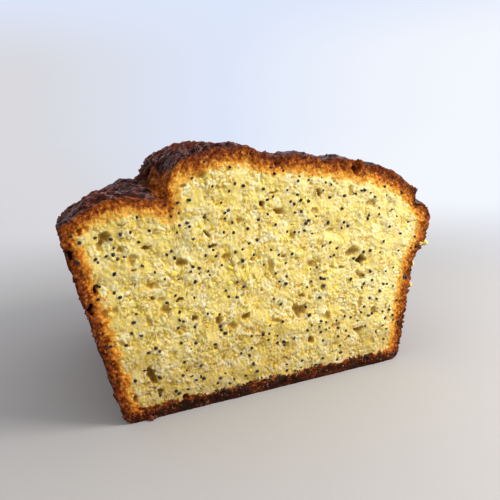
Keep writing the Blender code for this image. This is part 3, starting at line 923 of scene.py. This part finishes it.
def crumbFinish():
    made, shader, place = newMaterial("yellow_crumb")
    tone = place.value("tone")
    rimShare = place.value("rimShare")
    pit = place.value("pit")
    gold = place.value("gold")
    calm = place.value("calm")
    bent = place.bend(0.0008, 0.0004)
    speck = place.noise(0.0011, 3.0, 0.6)
    broad = place.noise(0.0100, 2.0, 0.5)
    dot = place.noise(0.00052, 2.0, 0.6)
    clump = 1 - bent.cells(0.00115)
    grain, small = bent.cellShade(0.00115), bent.cellShade(0.00062)
    soft = bent.noise(0.0032, 5.0, 0.62).step(0.50, 0.55)
    # thin dark crevices between crumbs; their dark colour is painted shade
    crevice = 1 - place.bend(0.0016, 0.0014).cells(0.0034, "DISTANCE_TO_EDGE").step(0.020, 0.070)
    crevice = crevice * place.noise(0.0060).step(0.56, 0.66)
    # painted light, paler to the upper right, and painted shade, darker towards the base
    across, height = place.axis(0), place.axis(2)
    paintedLightUpperRight = (across + height * 0.5 + (broad - 0.5) * 0.03).step(0.010, 0.085)
    detail = grain * 0.32 + small * 0.32 + clump * 0.24 + speck * 0.38 + dot * 0.50 - 0.88
    # the relief's height makes the hollows darker ochre, painted shade; the rest is the crumb's own mottling
    lively = 0.50 + tone * 0.42 + detail * (1.24 - calm * 0.80) + (broad - 0.5) * 0.35
    lively = lively - soft * 0.10 - calm * 0.04
    butter = bent.noise(0.0028, 4.0, 0.62).step(0.47, 0.57)
    lemon = place.noise(0.0062, 2.0, 0.5).step(0.60, 0.72)
    crumbColour = layered(
        lively.ramp(*crumbRamps["crumb"]), (soft * 0.30, (230, 198, 102)), (calm * 0.42, (240, 211, 116)),
        (crevice * 0.75, (122, 92, 42)), (butter * 0.50, (243, 216, 92)), (lemon * 0.55, (246, 218, 92)))
    # colour in the air holes, darker with depth: painted shade
    paintedHoleShade = (pit + small * 0.20 + speck * 0.34 - 0.28).ramp(*crumbRamps["hole"])
    crumbColour = ((pit + dot * 0.14 - 0.07).step(0.07, 0.12) * 0.88).mix(crumbColour, paintedHoleShade)
    crumbColour = layered(crumbColour, (paintedLightUpperRight * 0.22, (246, 238, 184)))
    # painted shade: darker towards the base, a little more to the left
    paintedShadeLow = 1 - (height + across * 0.12 + (broad - 0.5) * 0.016).step(-0.004, 0.030)
    crumbColour = paintedShadeLow.mix(crumbColour, (0.70, 0.64, 0.62), "MULTIPLY")
    # the browned rim: dark and russet outside, with pale flecks, and darker along the base, partly darker
    # crust and partly painted shade; its dark specks come from mottling and gather in the relief's hollows,
    # partly painted shade, and its deep holes go near black, painted shade
    ragged = place.noise(0.0030, 5.0, 0.68) - 0.5
    depth = rimShare + ragged * 1.10
    mottle = (speck - 0.5) * 0.55 + (clump - 0.5) * 0.20 + (grain - 0.5) * 0.26
    mottle = mottle + (small - 0.5) * 0.26 + tone * 0.08
    dark = (0.84 - speck * 1.25 - tone * 0.30).step(0.12, 0.34) * (1 - depth.step(0.30, 0.80))
    russet = place.noise(0.0021, 4.0, 0.62).step(0.50, 0.60) * (1 - depth.step(0.35, 0.90))
    fleck = place.noise(0.00075, 2.0, 0.6).step(0.62, 0.70) * depth.step(0.05, 0.45)
    charredAndShaded = (0 - gold).step(0.16, 0.40) * place.noise(0.0034, 3.0, 0.6).step(0.46, 0.58)
    crustColour = layered(
        (depth + gold + mottle).ramp(*crumbRamps["rim"]),
        (dark * (0.70 - gold).clamp(), (58, 22, 8)), (russet * (0.62 - gold * 0.5).clamp(), (100, 38, 11)),
        (fleck * 0.55, (248, 202, 122)), (charredAndShaded * 0.85, (34, 18, 10)),
        (pit.step(0.50, 0.90) * 0.90, (46, 20, 9)))
    share = (depth + mottle * 0.45).step(0.90, 1.06)
    feed(shader, Base_Color=share.mix(crustColour, crumbColour), Roughness=0.66 + share * 0.12)
    fine = place.noise(0.00045, 2.0, 0.6)
    relief = clump * 0.60 + grain * 0.30 + small * 0.25 + fine * 0.35 + soft * -0.35 + crevice * -0.8
    feed(shader, Normal=relief.bump(0.60, 0.00032))
    setAll(shader, Subsurface_Weight=0.10, Subsurface_Radius=(1.0, 0.62, 0.25), Subsurface_Scale=0.0006)
    setAll(shader, Specular_IOR_Level=0.09)
    return made


def lidFinish():
    made, shader, place = newMaterial("glossy_top_crust")
    tone = place.value("tone")
    split = place.value("split")
    broad = place.noise(0.0120, 4.0, 0.6)
    fine = place.noise(0.0016, 3.0, 0.6)
    film = place.value("film")
    # the crust's own mottled brown and the torn crust's colour, both darker in the relief's hollows: painted
    # shade
    brown = (broad * 0.7 + fine * 0.5 + tone * 0.20 - 0.10).ramp(
        (0.27, (16, 6, 5)), (0.48, (44, 15, 9)), (0.68, (90, 36, 20)), (0.92, (126, 62, 34)))
    bare = (broad * 0.4 + fine * 1.15 + tone * 0.16 - 0.26).ramp(
        (0.15, (60, 25, 10)), (0.38, (132, 64, 19)), (0.62, (186, 100, 32)), (0.90, (210, 138, 60)))
    share = (split + fine * 0.4 - 0.2).step(0.45, 0.90)
    # painted highlights: thin pale lines along the wrinkles
    edge = place.bend(0.0030, 0.0022).noise(0.0022, 3.0, 0.6, stretch=(0.6, 1.0, 1.0))
    paintedHighlight = edge.step(0.53, 0.57) * (1 - edge.step(0.57, 0.61))
    brown = layered(brown, (paintedHighlight * 0.56, (164, 120, 110)))
    feed(shader, Base_Color=share.mix(brown, bare))
    feed(shader, Roughness=0.36 + share * 0.30 + fine * 0.14)
    # gloss in small spots, and in patches on the smooth side
    glint = place.bend(0.0020, 0.0016).noise(0.0013, 3.0, 0.6, stretch=(1.0, 1.8, 1.0)).step(0.54, 0.66)
    patch = film * (broad + fine * 0.3).step(0.52, 0.74)
    feed(shader, Coat_Weight=(glint * 0.58 + 0.01 + patch * 0.42) * (1 - share * 0.7))
    setAll(shader, Coat_Roughness=0.12, Specular_IOR_Level=0.04)
    feed(shader, Normal=(fine * 0.7 + place.noise(0.0008, 2.0, 0.6) * 0.4).bump(0.55, 0.0005))
    return made


def wallFinish():
    made, shader, place = newMaterial("tin_baked_crust")
    tone = place.value("tone")
    up = place.value("up")
    broad = place.noise(0.0140, 3.0, 0.6)
    streak = place.noise(0.0030, 3.0, 0.6, stretch=(1.0, 1.0, 0.22))
    fine = place.noise(0.0012, 3.0, 0.65)
    grain = place.bend(0.0010, 0.0006).cellShade(0.0010)
    # the crust's own mottling, a little darker in the relief's hollows: painted shade
    mixed = broad * 0.34 + streak * 0.36 + fine * 0.50 + grain * 0.12 + tone * 0.12 - 0.22
    colour = mixed.ramp(
        (0.15, (52, 20, 8)), (0.38, (98, 42, 14)), (0.60, (144, 72, 22)), (0.88, (198, 122, 48)))
    # the rim takes the top's brown, the base is darker
    rim = (up + (broad - 0.5) * 0.22 + (fine - 0.5) * 0.22).step(0.84, 1.0)
    low = 1 - (up + (fine - 0.5) * 0.10).step(0.0, 0.08)
    colour = layered(colour, (rim * 0.75, (66, 27, 14)), (low * 0.55, (54, 22, 10)))
    feed(shader, Base_Color=colour, Roughness=0.52 + fine * 0.2)
    setAll(shader, Specular_IOR_Level=0.20)
    feed(shader, Normal=(fine + grain * 0.5).bump(0.55, 0.0005))
    return made


def seedFinish():
    made, shader, place = newMaterial("poppy_seed_skin")
    shade = place.value("shade")
    fine = place.cells(0.00016)
    bloom = place.noise(0.00040, 2.0, 0.5)
    colour = (shade * 0.55 + fine * 0.25 + bloom * 0.9 - 0.45).ramp(
        (0.0, (20, 11, 13)), (0.50, (36, 24, 28)), (0.78, (70, 57, 66)), (1.0, (140, 126, 134)))
    feed(shader, Base_Color=colour, Roughness=0.36 + shade * 0.12)
    setAll(shader, Specular_IOR_Level=0.42)
    feed(shader, Normal=fine.bump(0.5, 0.00004))
    return made


def zestFinish():
    made, shader, place = newMaterial("lemon_zest_flake")
    shade = place.value("shade")
    fine = place.noise(0.0006, 2.0, 0.5)
    colour = (shade + fine * 0.12 - 0.06).ramp(
        (0.0, (250, 226, 96)), (0.78, (248, 212, 62)), (0.90, (246, 184, 48)), (1.0, (242, 160, 38)))
    feed(shader, Base_Color=colour, Roughness=0.5 + fine * 0.2)
    return made


def looseFinish():
    made, shader, place = newMaterial("loose_crumb")
    shade = place.value("shade")
    fine = place.noise(0.0007, 3.0, 0.6)
    colour = (shade * 0.9 + fine * 0.35 - 0.15).ramp(
        (0.0, (56, 22, 9)), (0.30, (124, 58, 18)), (0.60, (212, 144, 56)), (0.9, (244, 220, 132)))
    feed(shader, Base_Color=colour, Roughness=0.65 + fine * 0.15)
    feed(shader, Normal=fine.bump(0.4, 0.0002))
    return made


def dress(piece, finish):
    piece.data.materials.append(finish)
    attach(piece, "root")
    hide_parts("cake_loaf")


crumbPiece, cutPoints, rimShare, pits = buildCrumb()
dress(crumbPiece, crumbFinish())
lidPiece, lidPoints = buildLid()
dress(lidPiece, lidFinish())
wallPiece, wallPoints = buildWalls()
dress(wallPiece, wallFinish())
takenSpots = []
dress(buildSeeds(cutPoints, rimShare, pits, takenSpots, lidPoints, wallPoints), seedFinish())
dress(buildZest(cutPoints, rimShare, pits, takenSpots), zestFinish())
dress(buildLooseCrumbs(), looseFinish())
print("stage: pieces dressed")


# camera, floor and light
view = {
    "place": (-0.0684266, -0.1614258, 0.0868083), "yaw": 0.3713, "pitch": 0.21517, "roll": 0.0659,
    "focalPixels": 560.0, "imagePixels": 500.0, "sensor": 36.0,
}


def addCamera():
    forward = Vector((math.sin(view["yaw"]) * math.cos(view["pitch"]),
                      math.cos(view["yaw"]) * math.cos(view["pitch"]), -math.sin(view["pitch"])))
    flat = Vector((math.cos(view["yaw"]), -math.sin(view["yaw"]), 0.0))
    upright = flat.cross(forward)
    c, s = math.cos(view["roll"]), math.sin(view["roll"])
    right, up = flat * c - upright * s, flat * s + upright * c
    data = bpy.data.cameras.new("camera")
    data.sensor_width = view["sensor"]
    data.lens = view["focalPixels"] / view["imagePixels"] * view["sensor"]
    data.clip_start = 0.01
    camera = bpy.data.objects.new("camera", data)
    camera.matrix_world = Matrix((right, up, -forward)).transposed().to_4x4()
    camera.location = Vector(view["place"]) + Vector(loaf["shift"])
    bpy.context.scene.collection.objects.link(camera)
    bpy.context.scene.camera = camera


studio = {
    # a bright wall behind and to the right, a dimmer room in front
    "wall": srgb(221, 231, 252), "room": srgb(134, 132, 133), "wallDirection": (0.766, 0.643, 0.0),
    "horizon": ((0.66, (217, 217, 222)), (0.86, (221, 230, 249)), (0.99, (243, 247, 254))),
    "horizonFade": (0.10, 0.25), "aboveFade": (0.30, 0.90),
    "above": (1.10, 1.13, 1.20), "brightSide": (-0.50, 0.60),
    # the floor's colour is darker near the cake: painted shade
    "floorNear": (0.42, 0.40, 0.38), "floorFar": (0.80, 0.78, 0.765), "floorFade": (0.08, 0.50),
    "glowFade": (0.13, 0.44), "floorHalf": 6.0,
    "lamp": {"place": (0.205, -0.190, 0.240), "aim": (0.0, 0.0, 0.04), "size": 0.16, "power": 1.13,
             "colour": (1.0, 0.99, 0.96)},
}


def facingWall(direction):
    # how far a direction points to the bright wall, from -1 to 1
    return direction.vector("DOT_PRODUCT", direction, studio["wallDirection"], out=1)


def wallTint(facing):
    # the wall's colour by direction: bright to the right, the dim room in front
    return facing.step(*studio["brightSide"]).mix(studio["room"], facing.ramp(*studio["horizon"]))


def addWorld():
    world = bpy.data.worlds.new("studio")
    world.use_nodes = True
    around = Sock(world.node_tree).node("ShaderNodeTexCoord", out=0)
    facing = facingWall(around)
    height = around.axis(2)
    sky = facing.step(*studio["brightSide"]).mix(studio["room"], studio["wall"])
    sky = height.step(*studio["horizonFade"]).mix(wallTint(facing), sky)
    sky = height.step(*studio["aboveFade"]).mix(sky, studio["above"])
    world.node_tree.links.new(sky.socket, world.node_tree.nodes["Background"].inputs["Color"])
    bpy.context.scene.world = world


def addFloor():
    half = studio["floorHalf"]
    mesh = bpy.data.meshes.new("floor")
    corners = [(-half, -half, 0), (half, -half, 0), (half, half, 0), (-half, half, 0)]
    mesh.from_pydata(corners, [], [(0, 1, 2, 3)])
    floor = bpy.data.objects.new("floor", mesh)
    bpy.context.scene.collection.objects.link(floor)
    # the floor is darker near the cake, a painted shade, brightens away from it and turns into the wall's
    # glow, so no horizon shows
    made, shader, place = newMaterial("pale_floor")
    away = place.vector("LENGTH", place, out=1)
    facing = facingWall(place.vector("NORMALIZE", place))
    lit = away.step(*studio["floorFade"]).mix(studio["floorNear"], studio["floorFar"])
    glow = away.step(*studio["glowFade"])
    black = (0.0, 0.0, 0.0)
    feed(shader, Base_Color=glow.mix(lit, black), Emission_Color=glow.mix(black, wallTint(facing)))
    setAll(shader, Emission_Strength=1.0, Specular_IOR_Level=0.0, Roughness=1.0)
    mesh.materials.append(made)


def addLamp():
    lamp = studio["lamp"]
    data = bpy.data.lights.new("key", "AREA")
    data.size, data.energy, data.color = lamp["size"], lamp["power"], lamp["colour"]
    light = bpy.data.objects.new("key", data)
    light.location = lamp["place"]
    aim = Vector(lamp["aim"]) - Vector(lamp["place"])
    light.rotation_euler = aim.to_track_quat("-Z", "Y").to_euler()
    bpy.context.scene.collection.objects.link(light)


addCamera()
addWorld()
addFloor()
addLamp()
bpy.context.scene.view_settings.view_transform = "Standard"
print("stage: camera and light")
